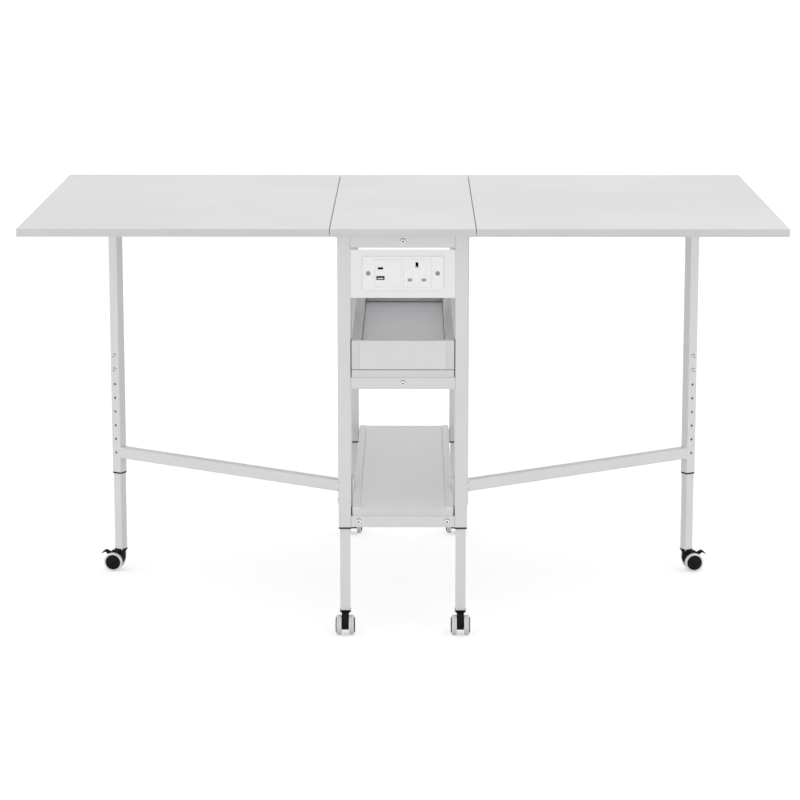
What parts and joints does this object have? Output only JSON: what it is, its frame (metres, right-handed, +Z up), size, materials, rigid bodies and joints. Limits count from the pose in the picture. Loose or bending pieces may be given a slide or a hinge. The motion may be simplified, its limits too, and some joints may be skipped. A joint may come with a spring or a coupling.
{
  "type": "folding sewing cutting table",
  "caption": "Rolling cutting table with two drop leaves on swing-out gate legs, a narrow cabinet frame with bin and tray, and a power panel.",
  "frame": {"origin": "on the floor, under the centre of the top", "axes": "+X along the length of the top to the right, +Y from the front with the power panel to the back, +Z up"},
  "size_m": [1.5, 0.9, 0.82],
  "materials": {
    "white_board": "white melamine board, low sheen",
    "white_steel": "white powder coat",
    "zinc_steel": "zinc plated",
    "white_bolt": "white painted",
    "black_plastic": "moulded black nylon",
    "white_plastic": "white moulded plastic",
    "grey_tread": "light grey polyurethane tread"
  },
  "bodies": {
    "cabinet": {"centre_top": "white_board", "centre_hinge_flaps": "zinc_steel", "front_frame": "white_steel", "back_frame": "white_steel", "top_long_rail": "white_steel", "middle_long_rail": "white_steel", "lower_long_rails": "white_steel", "frame_bolts": "white_bolt", "top_brackets": "zinc_steel", "post_sleeves": "black_plastic", "post_lock_screws": "white_bolt", "gate_brackets": "white_steel", "bin_base": "white_board", "bin_left_side": "white_board", "bin_right_side": "white_board", "bin_front": "white_board", "bin_back": "white_board", "tray_board": "white_board", "tray_strips": "white_board", "power_box": "white_steel", "power_box_cover": "white_steel", "cable_gland": "black_plastic", "face_plate": "white_plastic", "usb_module": "white_plastic", "socket_module": "white_plastic", "plate_screws": "zinc_steel"},
    "left_leaf": {"left_leaf_board": "white_board", "left_hinge_flaps": "zinc_steel"},
    "left_gate": {"left_gate_frame": "white_steel", "left_gate_bushes": "white_plastic", "left_gate_sleeve": "black_plastic", "left_gate_glide": "white_plastic", "left_gate_lock_screws": "white_bolt"},
    "right_leaf": {"right_leaf_board": "white_board", "right_hinge_flaps": "zinc_steel"},
    "right_gate": {"right_gate_frame": "white_steel", "right_gate_bushes": "white_plastic", "right_gate_sleeve": "black_plastic", "right_gate_glide": "white_plastic", "right_gate_lock_screws": "white_bolt"},
    "front_left_leg": {"front_left_leg": "white_steel"},
    "front_left_caster": {"front_left_caster": "black_plastic"},
    "front_left_wheels": {"front_left_wheels": "grey_tread"},
    "front_right_leg": {"front_right_leg": "white_steel"},
    "front_right_caster": {"front_right_caster": "black_plastic"},
    "front_right_wheels": {"front_right_wheels": "grey_tread"},
    "back_left_leg": {"back_left_leg": "white_steel"},
    "back_left_caster": {"back_left_caster": "black_plastic"},
    "back_left_wheels": {"back_left_wheels": "grey_tread"},
    "back_right_leg": {"back_right_leg": "white_steel"},
    "back_right_caster": {"back_right_caster": "black_plastic"},
    "back_right_wheels": {"back_right_wheels": "grey_tread"},
    "left_gate_leg": {"left_gate_leg": "white_steel"},
    "left_gate_caster": {"left_gate_caster": "black_plastic"},
    "left_gate_wheels": {"left_gate_wheels": "grey_tread"},
    "left_gate_brake": {"left_gate_brake": "black_plastic"},
    "right_gate_leg": {"right_gate_leg": "white_steel"},
    "right_gate_caster": {"right_gate_caster": "black_plastic"},
    "right_gate_wheels": {"right_gate_wheels": "grey_tread"},
    "right_gate_brake": {"right_gate_brake": "black_plastic"}
  },
  "joints": [
    {"name": "front_left_height", "type": "slide", "parent": "cabinet", "child": "front_left_leg", "axis": [0, 0, -1], "range_m": [0, 0.18]},
    {"name": "front_left_swivel", "type": "hinge", "parent": "front_left_leg", "child": "front_left_caster", "pos_m": [-0.115, -0.4115, 0.043], "axis": [0, 0, 1], "continuous": true},
    {"name": "front_left_roll", "type": "hinge", "parent": "front_left_caster", "child": "front_left_wheels", "pos_m": [-0.115, -0.4265, 0.02], "axis": [1, 0, 0], "continuous": true},
    {"name": "front_right_height", "type": "slide", "parent": "cabinet", "child": "front_right_leg", "axis": [0, 0, -1], "range_m": [0, 0.18]},
    {"name": "front_right_swivel", "type": "hinge", "parent": "front_right_leg", "child": "front_right_caster", "pos_m": [0.115, -0.4115, 0.043], "axis": [0, 0, 1], "continuous": true},
    {"name": "front_right_roll", "type": "hinge", "parent": "front_right_caster", "child": "front_right_wheels", "pos_m": [0.115, -0.4265, 0.02], "axis": [1, 0, 0], "continuous": true},
    {"name": "back_left_height", "type": "slide", "parent": "cabinet", "child": "back_left_leg", "axis": [0, 0, -1], "range_m": [0, 0.18]},
    {"name": "back_left_swivel", "type": "hinge", "parent": "back_left_leg", "child": "back_left_caster", "pos_m": [-0.115, 0.4115, 0.043], "axis": [0, 0, 1], "continuous": true},
    {"name": "back_left_roll", "type": "hinge", "parent": "back_left_caster", "child": "back_left_wheels", "pos_m": [-0.115, 0.4265, 0.02], "axis": [-1, 0, 0], "continuous": true},
    {"name": "back_right_height", "type": "slide", "parent": "cabinet", "child": "back_right_leg", "axis": [0, 0, -1], "range_m": [0, 0.18]},
    {"name": "back_right_swivel", "type": "hinge", "parent": "back_right_leg", "child": "back_right_caster", "pos_m": [0.115, 0.4115, 0.043], "axis": [0, 0, 1], "continuous": true},
    {"name": "back_right_roll", "type": "hinge", "parent": "back_right_caster", "child": "back_right_wheels", "pos_m": [0.115, 0.4265, 0.02], "axis": [-1, 0, 0], "continuous": true},
    {"name": "left_gate_height", "type": "slide", "parent": "left_gate", "child": "left_gate_leg", "axis": [0, 0, -1], "range_m": [0, 0.18]},
    {"name": "left_gate_swivel", "type": "hinge", "parent": "left_gate_leg", "child": "left_gate_caster", "pos_m": [-0.61358, 0.08739, 0.043], "axis": [0, 0, 1], "continuous": true},
    {"name": "left_gate_roll", "type": "hinge", "parent": "left_gate_caster", "child": "left_gate_wheels", "pos_m": [-0.62843, 0.08947, 0.02], "axis": [-0.1392, -0.9903, 0], "continuous": true},
    {"name": "left_gate_brake_press", "type": "hinge", "parent": "left_gate_caster", "child": "left_gate_brake", "pos_m": [-0.63239, 0.09003, 0.037], "axis": [-0.1392, -0.9903, 0], "range_deg": [0, 12]},
    {"name": "right_gate_height", "type": "slide", "parent": "right_gate", "child": "right_gate_leg", "axis": [0, 0, -1], "range_m": [0, 0.18]},
    {"name": "right_gate_swivel", "type": "hinge", "parent": "right_gate_leg", "child": "right_gate_caster", "pos_m": [0.61358, 0.08739, 0.043], "axis": [0, 0, 1], "continuous": true},
    {"name": "right_gate_roll", "type": "hinge", "parent": "right_gate_caster", "child": "right_gate_wheels", "pos_m": [0.62843, 0.08947, 0.02], "axis": [-0.1392, 0.9903, 0], "continuous": true},
    {"name": "right_gate_brake_press", "type": "hinge", "parent": "right_gate_caster", "child": "right_gate_brake", "pos_m": [0.63239, 0.09003, 0.037], "axis": [-0.1392, 0.9903, 0], "range_deg": [0, 12]},
    {"name": "left_gate_swing", "type": "hinge", "parent": "cabinet", "child": "left_gate", "pos_m": [-0.1185, -0.2403, 0.5], "axis": [0, 0, -1], "range_deg": [0, 56.5]},
    {"name": "left_leaf_lift", "type": "hinge", "parent": "cabinet", "child": "left_leaf", "pos_m": [-0.1426, 0, 0.8015], "axis": [0, 1, 0], "range_deg": [0, 3]},
    {"name": "right_gate_swing", "type": "hinge", "parent": "cabinet", "child": "right_gate", "pos_m": [0.1185, -0.2403, 0.5], "axis": [0, 0, 1], "range_deg": [0, 56.5]},
    {"name": "right_leaf_lift", "type": "hinge", "parent": "cabinet", "child": "right_leaf", "pos_m": [0.1426, 0, 0.8015], "axis": [0, -1, 0], "range_deg": [0, 3]}
  ]
}
